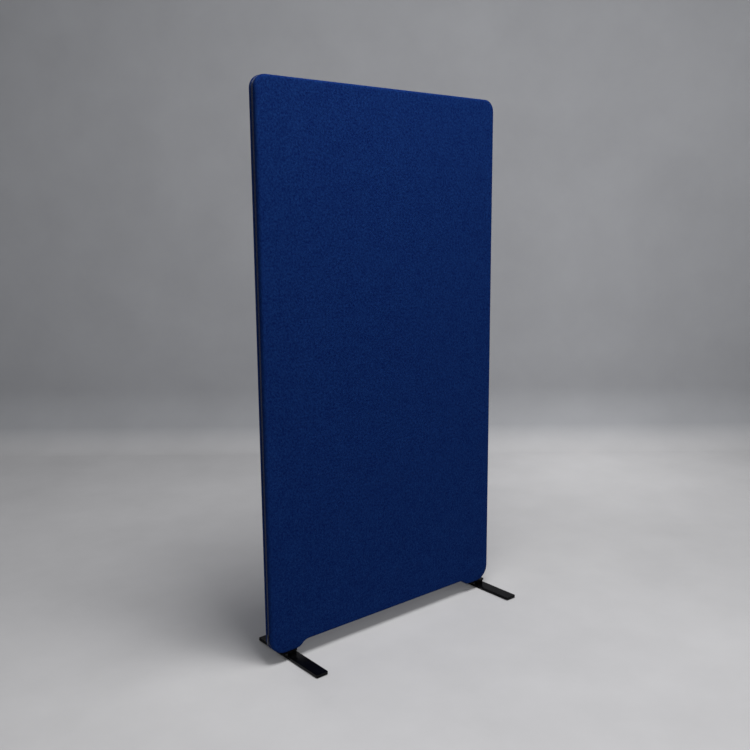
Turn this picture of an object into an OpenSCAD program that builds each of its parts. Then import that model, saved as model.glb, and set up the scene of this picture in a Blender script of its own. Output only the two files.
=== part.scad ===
// Acoustic divider screen: a flat upholstered panel with rounded corners, zipped round
// its narrow edge, standing on two flat steel feet. Its bottom edge is raised between
// two low ends, and each low end carries a foot.
// Origin on the floor below the middle of the panel, +X to the right, front face
// towards -Y, +Z up.

/* [Panel] */
// Width over the fabric
panel_w = 1000; // [800:10:1400]
// Height from the low ends to the top edge
panel_h = 1800; // [1200:10:2000]
// Thickness over the fabric
panel_t = 40; // [38:1:50]
// Radius of the four corners, seen from the front
corner_r = 55; // [48:1:80]
// Rounding between each face and the narrow edge
edge_r = 8.5; // [6:0.5:10]
// Height of the low ends above the floor
low_end_z = 33; // [30:1:60]

/* [Bottom recess] */
// Rise of the middle of the bottom edge above the low ends
recess_h = 20; // [14:1:28]
// Radius of the two arcs that lead from a low end up into the recess
recess_r = 35; // [25:1:45]
// Distance from the panel's side to the foot of that curve
recess_side = 98; // [84:0.5:110]

/* [Fabric covers] */
// Thickness of the felt fabric
cover_t = 1.5; // [1:0.1:1.6]
// Thickness of the turned-in hem beside the zip
hem_t = 2; // [1.7:0.1:2.1]
// Width of the band between the front and the rear hem
zip_band_w = 10.4; // [10:0.1:12]
// How far the hem reaches from its fold towards the face
hem_w = 5.8; // [4:0.1:5.8]

/* [Wooden frame] */
// Thickness of the frame members
frame_t = 26; // [24:1:30]
// Width of the stiles and rails, seen from the front
rail_w = 60; // [45:1:80]
// Distance from the outside of the fabric to the frame's edge
frame_inset = 3; // [3:0.1:4]
// Length of each arm of a corner block
corner_arm = 120; // [110:1:160]
// Radius in the inner angle of a corner block
fillet_r = 20; // [10:1:30]
// Width of the groove for the zip in the frame's outer edge
groove_w = 14; // [12:0.5:16]
// Depth of that groove
groove_d = 2.2; // [2:0.1:4]
// Diameter of the dowels
dowel_d = 10; // [6:1:12]
// Length of the dowels
dowel_l = 60; // [40:2:80]
// Distance between the two dowels of a joint
dowel_pitch = 30; // [22:1:32]

/* [Zip] */
// Thickness of the woven tapes
tape_t = 0.6; // [0.4:0.1:0.7]
// Width of one tape from the middle of the zip
tape_w = 10.6; // [9:0.2:12]
// Width of one coil
coil_w = 2.5; // [2:0.1:2.7]
// Thickness of the coils
coil_t = 1.8; // [1.4:0.1:1.8]
// Gap between the two coils, in which the slider's web runs
coil_gap = 1.2; // [1:0.1:1.4]
// Length of the slider
slider_l = 11; // [9:0.5:13]
// Width of the slider
slider_w = 9.2; // [8.8:0.1:9.6]
// Thickness of the slider's outer plate
slider_t = 1.6; // [1.2:0.1:2]
// Distance from the corner's arc up to the parked slider
slider_park = 12; // [8:1:40]
// Length of the pull below its pivot
pull_l = 30; // [22:1:40]
// Width of the pull
pull_w = 5.5; // [5:0.1:7]
// Thickness of the pull
pull_t = 1.2; // [1:0.1:1.2]

/* [Feet] */
// Length of a foot bar, front to rear
bar_l = 340; // [260:5:600]
// Width of a foot bar
bar_w = 45; // [40:1:60]
// Thickness of a foot bar
bar_t = 10; // [8:0.5:12]
// Radius of the bar's corners, seen from above
bar_corner_r = 5; // [3:0.5:10]
// Rounding of the bar's edges
bar_edge_r = 1.5; // [0.5:0.1:2.5]
// Distance from the panel's side to the middle of a bracket's two screws
screws_side = 58.5; // [56:0.5:70]
// Distance from the middle of those screws to the middle of the bar, always to the right
bar_offset = 31.5; // [30:0.5:36]
// Diameter of a floor glide
glide_d = 26; // [20:1:36]
// Thickness of a floor glide
glide_t = 1.5; // [1:0.5:3]
// Distance from a bar's end to the middle of its glide
glide_end = 25; // [20:1:60]

/* [Brackets] */
// Length of the bracket's plate along the panel
plate_l = 62; // [62:1:80]
// Width of the bracket's plate across the panel
plate_w = 34; // [28:1:36]
// Thickness of the bracket's plate
plate_t = 6; // [5:0.5:8]
// Side of the square riser between the plate and the foot bar
riser_w = 22; // [18:0.5:23]
// Depth to which the riser is let into the foot bar
riser_seat = 2; // [1:0.5:3]
// Distance between the bracket's two screws
screw_pitch = 24; // [20:1:26]
// Diameter of the bracket's screws
screw_d = 6; // [5:1:6]
// Height of the threaded inserts
insert_l = 15; // [10:1:20]
// Outer diameter of the threaded inserts
insert_d = 9; // [8:0.5:10]
// Diameter of the bolt through a foot bar
bolt_d = 8; // [6:1:10]

/* [Hidden] */

// Colours
felt_colour = [0.03, 0.13, 0.32];
hidden_felt_colour = [0.72, 0.72, 0.7];
core_colour = [0.55, 0.56, 0.5];
wood_colour = [0.8, 0.66, 0.46];
tape_colour = [0.07, 0.09, 0.16];
coil_colour = [0.14, 0.17, 0.26];
metal_colour = [0.62, 0.63, 0.65];
black_colour = [0.03, 0.03, 0.035];

// Overrun of every cut past the face it opens
over = 1;
// Clearance round what is glued or screwed into a bore
bore_fit = 0.1;
// Clearance between flat pieces that are pushed together loosely
loose_fit = 0.3;
// Steps in each corner's arc, in each arc of the recess and in each edge rounding
corner_steps = 8;
recess_steps = 5;
edge_steps = 5;
// Steps of the lower corners' arcs at which the coils, the gusset and the tapes end
coil_end_step = 4;
gusset_end_step = 5;
tape_end_step = 6;
round_fn = 48;

// Panel
side_x = panel_w / 2;
top_z = low_end_z + panel_h;
raised_z = low_end_z + recess_h;
corner_x = side_x - corner_r;
corner_low_z = low_end_z + corner_r;
corner_high_z = top_z - corner_r;
recess_a = acos(1 - recess_h / (2 * recess_r));
recess_x = side_x - recess_side;
recess_top_x = recess_x - 2 * recess_r * sin(recess_a);
hem_y = zip_band_w / 2;
face_y = panel_t / 2;

// Padding: it fills the space between the frame's face and the cover
pad_fit = 0.1;
pad_r = edge_r - cover_t - pad_fit;
pad_back_a = acos((frame_t / 2 - face_y + edge_r) / pad_r);

// Frame
stile_x = side_x - frame_inset - rail_w;
arm_x = side_x - frame_inset - corner_arm;
// A lower block's arm reaches past the recess curve by about this much, and ends on a whole
// millimetre
rail_past_curve = 23.5;
low_arm_x = round(recess_top_x - rail_past_curve);
frame_top_z = top_z - frame_inset;
frame_bottom_z = raised_z + frame_inset;
low_block_z = frame_bottom_z + corner_arm;
high_block_z = frame_top_z - corner_arm;
middle_z = (frame_top_z + frame_bottom_z) / 2;
// Room past the end of each dowel in its bore
dowel_end_gap = 0.5;

// Zip: depths below the outside of the fabric
zip_gap = 0.2;
tape_depth = hem_t + zip_gap;
coil_depth = tape_depth - coil_t;
gusset_depth = zip_gap;
gusset_t = 1.2;
stop_l = 3;
stop_w = 6.6;
stop_gap = 0.1;

// Slider, measured outwards from the panel's edge
slide_gap = 0.3;
slider_z = corner_low_z + slider_park;
slider_in = zip_gap - coil_depth;
slider_out = slider_in + slider_t;
flange_y = coil_gap / 2 + coil_w + slide_gap;
base_w = 8;
base_t = 1.2;
web_t = 0.7;
web_l = 5;
bridge_w = 1.6;
bridge_l = 8;
bridge_t = 1;
bridge_leg = 1.4;
pull_pin_d = 1.4;
pin_gap = 0.2;
pivot_out = slider_out + pin_gap + pull_pin_d / 2;
bridge_out = pivot_out + pull_pin_d / 2 + pin_gap + bridge_t;
pull_arm_in = 1.2;
pull_arm_out = 2.4;
pull_neck_l = 5.3;
pull_hole_d = 2.6;
// Outline of the slider's plate, as shares of its width and length
slider_plan_shares = [[-0.36, -0.5], [0.36, -0.5], [0.46, -0.4], [0.5, 0.05], [0.5, 0.34],
    [0.38, 0.5], [0.14, 0.5], [0, 0.38], [-0.14, 0.5], [-0.38, 0.5], [-0.5, 0.34],
    [-0.5, 0.05], [-0.46, -0.4]];

// Feet
bar_top_z = glide_t + bar_t;
plate_bottom_z = low_end_z - plate_t;
riser_bottom_z = bar_top_z - riser_seat;
riser_corner_r = 2;
plate_corner_r = 4;
plate_edge_r = 0.8;
left_screws_x = screws_side - side_x;
right_screws_x = side_x - screws_side;
head_share = 2;
screw_head_d = head_share * screw_d;
screw_head_h = (screw_head_d - screw_d) / 2;
bolt_head_d = head_share * bolt_d;
bolt_head_h = (bolt_head_d - bolt_d) / 2;
screw_hole_d = screw_d + 0.1 * screw_d;
screw_hole_gap = screw_hole_d - screw_d;
// The inserts sit a little above the frame's underside, which rises where the corner's arc
// starts, so that none of them stands out at its outer side
insert_lift = 0.3;
insert_past_arc = max(0, side_x - screws_side + screw_pitch / 2 + insert_d / 2 - corner_x);
block_r = corner_r - frame_inset;
insert_z = corner_low_z - sqrt(block_r * block_r - insert_past_arc * insert_past_arc) + insert_lift;
// How far the screws end below the tops of the inserts, and the bolts below the plates
screw_short = 1;
bolt_short = 2;
// Hexagon sockets in the heads: width across flats as a share of the thread's diameter, and
// depth as a share of the head's height
key_share = 0.6;
key_depth_share = 0.8;
// Bead of weld between a riser and its plate
weld_w = 2.5;
// Chamfer round the bottom of a glide
glide_chamfer = 0.4;

// Points of an arc about a centre, from one angle to another, leaving out the first few
function arc_points(centre, r, from, to, steps, first = 0) =
    [for (i = [first : steps])
        let (a = from + (to - from) * i / steps)
        centre + r * [cos(a), sin(a)]];

// The panel's outline from the front, moved inwards by inset: it starts at the left side
// above the lower left corner and runs anticlockwise, so every inset has matching points
function outline(inset) = let (
        outer_r = corner_r - inset,
        convex_r = recess_r - inset,
        concave_r = recess_r + inset,
        convex_z = low_end_z + recess_r,
        concave_z = raised_z - recess_r)
    concat(
        arc_points([-corner_x, corner_low_z], outer_r, 180, 270, corner_steps),
        arc_points([-recess_x, convex_z], convex_r, -90, recess_a - 90, recess_steps),
        arc_points([-recess_top_x, concave_z], concave_r, 90 + recess_a, 90, recess_steps, 1),
        arc_points([recess_top_x, concave_z], concave_r, 90, 90 - recess_a, recess_steps),
        arc_points([recess_x, convex_z], convex_r, -90 - recess_a, -90, recess_steps, 1),
        arc_points([corner_x, corner_low_z], outer_r, -90, 0, corner_steps),
        arc_points([corner_x, corner_high_z], outer_r, 0, 90, corner_steps),
        arc_points([-corner_x, corner_high_z], outer_r, 90, 180, corner_steps));

outline_count = len(outline(0));
left_raised = corner_steps + 2 * recess_steps + 1;
right_corner_first = corner_steps + 1 + 2 * (2 * recess_steps + 1);
right_corner_last = right_corner_first + corner_steps;

// The pieces of the outline's area: the left low end, the right low end and the rest
outline_pieces = [
    [for (i = [0 : left_raised]) i],
    concat([right_corner_last], [for (i = [left_raised + 1 : right_corner_last - 1]) i]),
    concat([0, left_raised, left_raised + 1], [for (i = [right_corner_last : outline_count - 1]) i])];

// Places in the outline that a zip piece follows, from the lower right corner over the
// top to the lower left corner, ending at the given step of each corner's arc
function zip_places(step) = concat(
    [for (i = [right_corner_first + corner_steps - step : outline_count - 1]) i],
    [for (i = [0 : step]) i]);

// Places that the gusset follows, along the bottom between the same steps
function gusset_places(step) =
    [for (i = [step : right_corner_first + corner_steps - step]) i];

// A rectangle with rounded corners about the origin, moved inwards by inset
function rounded_rectangle(l, w, r, inset) = let (x = l / 2 - r, y = w / 2 - r)
    [for (q = [0 : 3]) each arc_points(
        [(q == 0 || q == 3) ? x : -x, (q < 2) ? y : -y], r - inset, 90 * q, 90 * (q + 1), edge_steps)];

// A solid through rings of points, each [points, height], with flat ends. Each piece of an
// end is a list of places in a ring, all of them in view of the piece's first place
module loft(rings, pieces) {
    count = len(rings[0][0]);
    last = len(rings) - 1;
    points = [for (ring = rings) for (p = ring[0]) [p[0], p[1], ring[1]]];
    bands = [for (i = [0 : last - 1]) for (k = [0 : count - 1])
        let (next = (k + 1) % count)
        [i * count + k, (i + 1) * count + k, (i + 1) * count + next, i * count + next]];
    bottom = pieces;
    top = [for (piece = pieces) [for (k = [0 : len(piece) - 1])
        last * count + piece[(len(piece) - k) % len(piece)]]];
    polyhedron(points = points, faces = concat(bands, bottom, top));
}

// Stands a flat drawing of x and z upright, with its thickness from y_from to y_to
module upright(y_from, y_to) {
    rotate([90, 0, 0])
        translate([0, 0, -y_to])
            linear_extrude(y_to - y_from)
                children();
}

// The strip of the panel's edge along some places of the outline, between two depths
module edge_strip(places, depth_out, depth_in) {
    outer = outline(depth_out);
    inner = outline(depth_in);
    last = len(places) - 1;
    polygon(concat(
        [for (i = places) outer[i]],
        [for (k = [0 : last]) inner[places[last - k]]]));
}

// Puts what is drawn for the front half on the rear half
module rear_half() {
    mirror([0, 1, 0])
        children();
}

module right_half() {
    mirror([1, 0, 0])
        children();
}

// Frame

// All the dowels, or their bores when they are given room
module dowel_set(room_d = 0, room_l = 0) {
    d = dowel_d + room_d;
    l = dowel_l + room_l;
    for (side = [-1, 1], k = [-1, 1]) {
        for (z = [low_block_z, high_block_z])
            translate([side * (stile_x + rail_w / 2) + k * dowel_pitch / 2, 0, z])
                cylinder(d = d, h = l, center = true, $fn = round_fn);
        for (joint = [[low_arm_x, frame_bottom_z + rail_w / 2], [arm_x, frame_top_z - rail_w / 2],
                [stile_x, middle_z]])
            translate([side * joint[0], 0, joint[1] + k * dowel_pitch / 2])
                rotate([0, 90, 0])
                    cylinder(d = d, h = l, center = true, $fn = round_fn);
    }
}

// A frame member from its flat drawing, with bores for the dowels
module member() {
    difference() {
        upright(-frame_t / 2, frame_t / 2)
            children();
        dowel_set(bore_fit * 2, dowel_end_gap * 2);
    }
}

// The space of the zip's groove along the frame's outer edge, above the gusset
module groove_space() {
    upright(-groove_w / 2, groove_w / 2)
        difference() {
            edge_strip(zip_places(tape_end_step), 0, frame_inset + groove_d);
            translate([-arm_x, 0])
                square([2 * arm_x, middle_z]);
        }
}

// The opening that a corner block leaves at its inner angle: a quarter plane that starts
// at the origin and runs towards +x and +y, with the fillet in its corner
module inner_angle(size) {
    translate([fillet_r, 0])
        square([size - fillet_r, size]);
    translate([0, fillet_r])
        square([size, size - fillet_r]);
    translate([fillet_r, fillet_r])
        circle(r = fillet_r, $fn = round_fn);
}

module left_stile() {
    difference() {
        member()
            translate([-side_x + frame_inset, low_block_z])
                square([rail_w, high_block_z - low_block_z]);
        groove_space();
    }
}

module upper_left_block() {
    difference() {
        member()
            difference() {
                intersection() {
                    polygon(outline(frame_inset));
                    translate([-side_x, high_block_z])
                        square([side_x - arm_x, corner_arm]);
                }
                translate([-stile_x, frame_top_z - rail_w])
                    mirror([0, 1])
                        inner_angle(corner_arm);
            }
        groove_space();
    }
}

// Bore for one threaded insert, open at the block's underside
module insert_bore(x) {
    translate([x, 0, low_end_z])
        cylinder(d = insert_d + bore_fit, h = insert_z + insert_l - low_end_z + screw_short,
            $fn = round_fn);
}

module lower_left_block() {
    difference() {
        member()
            difference() {
                intersection() {
                    polygon(outline(frame_inset));
                    translate([-side_x, low_end_z])
                        square([side_x - low_arm_x, low_block_z - low_end_z]);
                }
                translate([-stile_x, frame_bottom_z + rail_w])
                    inner_angle(2 * corner_arm);
            }
        groove_space();
        for (k = [-1, 1])
            insert_bore(left_screws_x + k * screw_pitch / 2);
    }
}

module frame_left_stile() {
    color(wood_colour)
        left_stile();
}

module frame_right_stile() {
    color(wood_colour)
        right_half()
            left_stile();
}

module frame_top_rail() {
    color(wood_colour)
        difference() {
            member()
                translate([-arm_x, frame_top_z - rail_w])
                    square([2 * arm_x, rail_w]);
            groove_space();
        }
}

module frame_middle_rail() {
    color(wood_colour)
        member()
            translate([-stile_x, middle_z - rail_w / 2])
                square([2 * stile_x, rail_w]);
}

module frame_bottom_rail() {
    color(wood_colour)
        member()
            translate([-low_arm_x, frame_bottom_z])
                square([2 * low_arm_x, rail_w]);
}

module frame_upper_left_corner() {
    color(wood_colour)
        upper_left_block();
}

module frame_upper_right_corner() {
    color(wood_colour)
        right_half()
            upper_left_block();
}

module frame_lower_left_corner() {
    color(wood_colour)
        lower_left_block();
}

module frame_lower_right_corner() {
    color(wood_colour)
        right_half()
            lower_left_block();
}

module frame_dowels() {
    color(wood_colour)
        dowel_set();
}

// Filling

// One absorber slab between the stiles, seen from the front: square towards the middle
// rail and rounded at its other two corners, where it meets the corner blocks
module core_drawing(w, h) {
    r = fillet_r - loose_fit;
    translate([-w / 2, r])
        square([w, h - r]);
    translate([r - w / 2, 0])
        square([w - 2 * r, h]);
    for (side = [-1, 1])
        translate([side * (w / 2 - r), r])
            circle(r = r, $fn = round_fn);
}

core_w = 2 * (stile_x - loose_fit);
core_h = middle_z - rail_w - rail_w / 2 - frame_bottom_z - 2 * loose_fit;

module upper_core() {
    color(core_colour)
        upright(-frame_t / 2, frame_t / 2)
            translate([0, frame_top_z - rail_w - loose_fit])
                mirror([0, 1])
                    core_drawing(core_w, core_h);
}

module lower_core() {
    color(core_colour)
        upright(-frame_t / 2, frame_t / 2)
            translate([0, frame_bottom_z + rail_w + loose_fit])
                core_drawing(core_w, core_h);
}

// Ring of points on the pad's rounded edge: 0 at the face and 90 at the widest place
function pad_ring(a) =
    [outline(edge_r - pad_r * sin(a)), face_y - edge_r + pad_r * cos(a)];

module pad() {
    rotate([90, 0, 0])
        loft([for (i = [0 : edge_steps]) pad_ring(pad_back_a * (1 - i / edge_steps))],
            outline_pieces);
}

module front_pad() {
    color(hidden_felt_colour)
        pad();
}

module rear_pad() {
    color(hidden_felt_colour)
        rear_half()
            pad();
}

// Covers

// Ring of points on a surface at some depth under the outside of a cover's rounded edge
function cover_ring(depth, a) =
    [outline(edge_r - (edge_r - depth) * sin(a)), face_y - edge_r + (edge_r - depth) * cos(a)];

// A tray of fabric: from its inner face down the inside, round the turned-in hem, up the
// outside and over the rounded edge to the outer face
module cover() {
    inner = [for (i = [0 : edge_steps]) cover_ring(cover_t, 90 * i / edge_steps)];
    outer = [for (i = [0 : edge_steps]) cover_ring(0, 90 * (1 - i / edge_steps))];
    hem = [[outline(cover_t), hem_y + hem_w], [outline(hem_t), hem_y + hem_w],
        [outline(hem_t), hem_y], [outline(0), hem_y]];
    rotate([90, 0, 0])
        loft(concat(inner, hem, outer), outline_pieces);
}

module front_cover() {
    color(felt_colour)
        cover();
}

module rear_cover() {
    color(felt_colour)
        rear_half()
            cover();
}

module bottom_gusset() {
    w = hem_y - zip_gap;
    color(felt_colour)
        difference() {
            upright(-w, w)
                edge_strip(gusset_places(gusset_end_step), gusset_depth, gusset_depth + gusset_t);
            for (x = [left_screws_x, right_screws_x], k = [-1, 1])
                translate([x + k * screw_pitch / 2, 0, low_end_z - over])
                    cylinder(d = screw_d + screw_hole_gap, h = insert_z - low_end_z + over,
                        $fn = round_fn);
        }
}

// Zip

module tape() {
    upright(-tape_w, -coil_gap / 2)
        edge_strip(zip_places(tape_end_step), tape_depth, tape_depth + tape_t);
}

module front_zip_tape() {
    color(tape_colour)
        tape();
}

module rear_zip_tape() {
    color(tape_colour)
        rear_half()
            tape();
}

module coil() {
    upright(-coil_gap / 2 - coil_w, -coil_gap / 2)
        edge_strip(zip_places(coil_end_step), coil_depth, tape_depth);
}

module front_zip_coil() {
    color(coil_colour)
        coil();
}

module rear_zip_coil() {
    color(coil_colour)
        rear_half()
            coil();
}

// A metal clip across both tapes, just past the end of the coils on the lower left arc
module left_stop() {
    r_out = corner_r - coil_depth;
    r_in = corner_r - tape_depth + stop_gap;
    from = 180 + 90 * coil_end_step / corner_steps + 180 * stop_gap / (PI * r_in);
    to = from + 180 * stop_l / (PI * r_out);
    centre = [-corner_x, corner_low_z];
    upright(-stop_w / 2, stop_w / 2)
        polygon(concat(arc_points(centre, r_out, from, to, 2), arc_points(centre, r_in, to, from, 2)));
}

module zip_end_stops() {
    color(metal_colour) {
        left_stop();
        right_half()
            left_stop();
    }
}

// Places what is drawn with +x pointing away from the panel's left edge, the middle of
// the zip at y = 0 and the parked slider at z = 0
module on_left_edge() {
    translate([-side_x, 0, slider_z])
        mirror([1, 0, 0])
            children();
}

// Extrudes a drawing of y and z along x, from x_from to x_to
module outward(x_from, x_to) {
    translate([x_from, 0, 0])
        rotate([90, 0, 90])
            linear_extrude(x_to - x_from)
                children();
}

module slider_plan(w) {
    polygon([for (s = slider_plan_shares) [s[0] * w, s[1] * slider_l]]);
}

// The arch over the pull's pin, drawn from the side
module bridge_drawing() {
    rise = bridge_out - slider_out;
    difference() {
        union() {
            translate([slider_in, -bridge_l / 2])
                square([slider_t + rise - bridge_leg, bridge_l]);
            translate([slider_in, bridge_leg - bridge_l / 2])
                square([slider_t + rise, bridge_l - 2 * bridge_leg]);
            for (end = [-1, 1])
                translate([bridge_out - bridge_leg, end * (bridge_l / 2 - bridge_leg)])
                    circle(r = bridge_leg, $fn = round_fn);
        }
        translate([slider_out, bridge_leg - bridge_l / 2])
            square([rise - bridge_t, bridge_l - 2 * bridge_leg]);
    }
}

module zip_slider() {
    color(metal_colour)
        on_left_edge() {
            outward(slider_in, slider_out)
                slider_plan(slider_w);
            // Flanges that wrap the coils
            outward(slide_gap - tape_depth, slider_in)
                intersection() {
                    slider_plan(slider_w);
                    for (side = [-1, 1])
                        translate([side * flange_y - (1 - side) / 2 * slider_w, -slider_l / 2])
                            square([slider_w, slider_l]);
                }
            // Web between the coils, and the base plate behind the tapes
            outward(-tape_depth - tape_t - slide_gap - base_t, slider_in)
                translate([-web_t / 2, 0])
                    square([web_t, web_l]);
            outward(-tape_depth - tape_t - slide_gap - base_t, -tape_depth - tape_t - slide_gap)
                slider_plan(base_w);
            translate([0, bridge_w / 2, 0])
                rotate([90, 0, 0])
                    linear_extrude(bridge_w)
                        bridge_drawing();
        }
}

// The pull hangs from a pin that turns under the slider's bridge
module pull_drawing() {
    difference() {
        union() {
            translate([-pull_arm_out, -pull_neck_l])
                square([2 * pull_arm_out, pull_neck_l]);
            translate([-pull_w / 2, pull_w / 2 - pull_l])
                square([pull_w, pull_l - pull_w / 2 - pull_neck_l]);
            translate([0, pull_w / 2 - pull_l])
                circle(d = pull_w, $fn = round_fn);
        }
        translate([-pull_arm_in, -pull_neck_l])
            square([2 * pull_arm_in, pull_neck_l + over]);
        translate([0, pull_w / 2 - pull_l])
            circle(d = pull_hole_d, $fn = round_fn);
    }
}

module zip_pull() {
    color(metal_colour)
        on_left_edge() {
            outward(pivot_out - pull_t / 2, pivot_out + pull_t / 2)
                pull_drawing();
            translate([pivot_out, 0, 0])
                rotate([90, 0, 0])
                    cylinder(d = pull_pin_d, h = 2 * pull_arm_out, center = true, $fn = round_fn);
        }
}

// Feet

// A flat plate with rounded edges
module plate(l, w, t, r, edge) {
    lower = [for (i = [0 : edge_steps]) let (a = 90 * i / edge_steps)
        [rounded_rectangle(l, w, r, edge * (1 - sin(a))), edge * (1 - cos(a))]];
    upper = [for (i = [0 : edge_steps]) let (a = 90 * i / edge_steps)
        [rounded_rectangle(l, w, r, edge * (1 - cos(a))), t - edge * (1 - sin(a))]];
    loft(concat(lower, upper), [[for (k = [0 : len(lower[0][0]) - 1]) k]]);
}

// A countersunk shape that points up, with the outside of its head at z = 0
module countersunk(d, head_d, head_h, l) {
    cylinder(d1 = head_d, d2 = d, h = head_h, $fn = round_fn);
    cylinder(d = d, h = l, $fn = round_fn);
}

// The space for such a screw in what it passes through
module countersink(d, head_d, head_h, l, gap) {
    translate([0, 0, -over])
        cylinder(d = head_d + gap, h = over, $fn = round_fn);
    countersunk(d + gap, head_d + gap, head_h, l + over);
}

// A countersunk screw with a hexagon socket
module socket_screw(d, head_d, head_h, l) {
    difference() {
        countersunk(d, head_d, head_h, l);
        translate([0, 0, -over])
            cylinder(d = key_share * d / cos(30), h = over + key_depth_share * head_h, $fn = 6);
    }
}

// The places of a bracket's parts, from the middle of its screws
module at_screws(screws_x) {
    for (k = [-1, 1])
        translate([screws_x + k * screw_pitch / 2, 0, 0])
            children();
}

// A hollow fillet of weld round the riser, cut off flush where the plate ends
module weld_bead() {
    w = riser_w + 2 * weld_w;
    rings = [for (i = [0 : edge_steps]) let (a = 90 * i / edge_steps)
        [rounded_rectangle(w, w, riser_corner_r + weld_w, weld_w * cos(a)), weld_w * sin(a)]];
    translate([0, 0, weld_w])
        mirror([0, 0, 1])
            intersection() {
                loft(rings, [[for (k = [0 : len(rings[0][0]) - 1]) k]]);
                translate([-w / 2, -w / 2, 0])
                    cube([w / 2 + riser_w / 2, w, weld_w]);
            }
}

module bracket(screws_x) {
    end_x = screws_x + bar_offset + riser_w / 2;
    difference() {
        union() {
            translate([end_x - plate_l / 2, 0, plate_bottom_z])
                plate(plate_l, plate_w, plate_t, plate_corner_r, plate_edge_r);
            translate([screws_x + bar_offset, 0, riser_bottom_z])
                linear_extrude(plate_bottom_z + plate_t / 2 - riser_bottom_z)
                    polygon(rounded_rectangle(riser_w, riser_w, riser_corner_r, 0));
            translate([screws_x + bar_offset, 0, plate_bottom_z - weld_w])
                weld_bead();
        }
        at_screws(screws_x)
            translate([0, 0, plate_bottom_z])
                countersink(screw_d, screw_head_d, screw_head_h, plate_t, screw_hole_gap);
        translate([screws_x + bar_offset, 0, riser_bottom_z - over])
            cylinder(d = bolt_d + bore_fit, h = plate_bottom_z - riser_bottom_z + over,
                $fn = round_fn);
    }
}

module foot_bar(screws_x) {
    translate([screws_x + bar_offset, 0, glide_t])
        difference() {
            plate(bar_w, bar_l, bar_t, bar_corner_r, bar_edge_r);
            translate([0, 0, bar_t - riser_seat])
                linear_extrude(riser_seat + over)
                    polygon(rounded_rectangle(riser_w, riser_w, riser_corner_r, -bore_fit));
            countersink(bolt_d, bolt_head_d, bolt_head_h, bar_t, loose_fit);
        }
}

module foot_bolt(screws_x) {
    translate([screws_x + bar_offset, 0, glide_t])
        socket_screw(bolt_d, bolt_head_d, bolt_head_h, plate_bottom_z - glide_t - bolt_short);
}

module bracket_screws(screws_x) {
    at_screws(screws_x)
        translate([0, 0, plate_bottom_z])
            socket_screw(screw_d, screw_head_d, screw_head_h,
                insert_z + insert_l - screw_short - plate_bottom_z);
}

module inserts(screws_x) {
    at_screws(screws_x)
        translate([0, 0, insert_z])
            difference() {
                cylinder(d = insert_d, h = insert_l, $fn = round_fn);
                translate([0, 0, -over])
                    cylinder(d = screw_d + bore_fit, h = insert_l + 2 * over, $fn = round_fn);
            }
}

module glides(screws_x) {
    for (end = [-1, 1])
        translate([screws_x + bar_offset, end * (bar_l / 2 - glide_end), 0]) {
            cylinder(d1 = glide_d - 2 * glide_chamfer, d2 = glide_d, h = glide_chamfer, $fn = round_fn);
            translate([0, 0, glide_chamfer])
                cylinder(d = glide_d, h = glide_t - glide_chamfer, $fn = round_fn);
        }
}

module left_bracket() {
    color(black_colour)
        bracket(left_screws_x);
}

module right_bracket() {
    color(black_colour)
        bracket(right_screws_x);
}

module left_bracket_screws() {
    color(metal_colour)
        bracket_screws(left_screws_x);
}

module right_bracket_screws() {
    color(metal_colour)
        bracket_screws(right_screws_x);
}

module left_inserts() {
    color(metal_colour)
        inserts(left_screws_x);
}

module right_inserts() {
    color(metal_colour)
        inserts(right_screws_x);
}

module left_foot_bar() {
    color(black_colour)
        foot_bar(left_screws_x);
}

module right_foot_bar() {
    color(black_colour)
        foot_bar(right_screws_x);
}

module left_foot_bolt() {
    color(metal_colour)
        foot_bolt(left_screws_x);
}

module right_foot_bolt() {
    color(metal_colour)
        foot_bolt(right_screws_x);
}

module left_glides() {
    color(black_colour)
        glides(left_screws_x);
}

module right_glides() {
    color(black_colour)
        glides(right_screws_x);
}

frame_left_stile();
frame_right_stile();
frame_top_rail();
frame_middle_rail();
frame_bottom_rail();
frame_upper_left_corner();
frame_upper_right_corner();
frame_lower_left_corner();
frame_lower_right_corner();
frame_dowels();
upper_core();
lower_core();
front_pad();
rear_pad();
front_cover();
rear_cover();
bottom_gusset();
front_zip_tape();
rear_zip_tape();
front_zip_coil();
rear_zip_coil();
zip_end_stops();
zip_slider();
zip_pull();
left_bracket();
right_bracket();
left_bracket_screws();
right_bracket_screws();
left_inserts();
right_inserts();
left_foot_bar();
right_foot_bar();
left_foot_bolt();
right_foot_bolt();
left_glides();
right_glides();
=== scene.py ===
"""Looks of a free-standing acoustic divider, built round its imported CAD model.

The divider is a flat panel upholstered in navy felt, with a zip round its narrow edge and a raised
middle in its bottom edge. It stands on two flat black steel feet. Felt, wadding, tapes and coils are
new meshes worked out with numpy from the panel's own outline; wooden, steel and rubber pieces are the
CAD nodes or softened copies of them.

Units are metres. +X runs to the right as seen from the front, the front face looks towards -Y and +Z
is up. The origin is on the floor below the middle of the panel.
"""

from __future__ import annotations

import logging
import math
from dataclasses import dataclass
from enum import Enum
from typing import Callable, Sequence

import bmesh
import bpy
import numpy as np
from mathutils import Matrix, Vector


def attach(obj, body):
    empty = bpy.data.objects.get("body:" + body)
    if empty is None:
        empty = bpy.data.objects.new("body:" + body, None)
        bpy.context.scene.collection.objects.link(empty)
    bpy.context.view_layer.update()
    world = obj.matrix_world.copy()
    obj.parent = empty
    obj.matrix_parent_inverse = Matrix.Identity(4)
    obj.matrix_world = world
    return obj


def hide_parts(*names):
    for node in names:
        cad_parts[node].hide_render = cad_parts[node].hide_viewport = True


log = logging.getLogger("divider")

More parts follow.
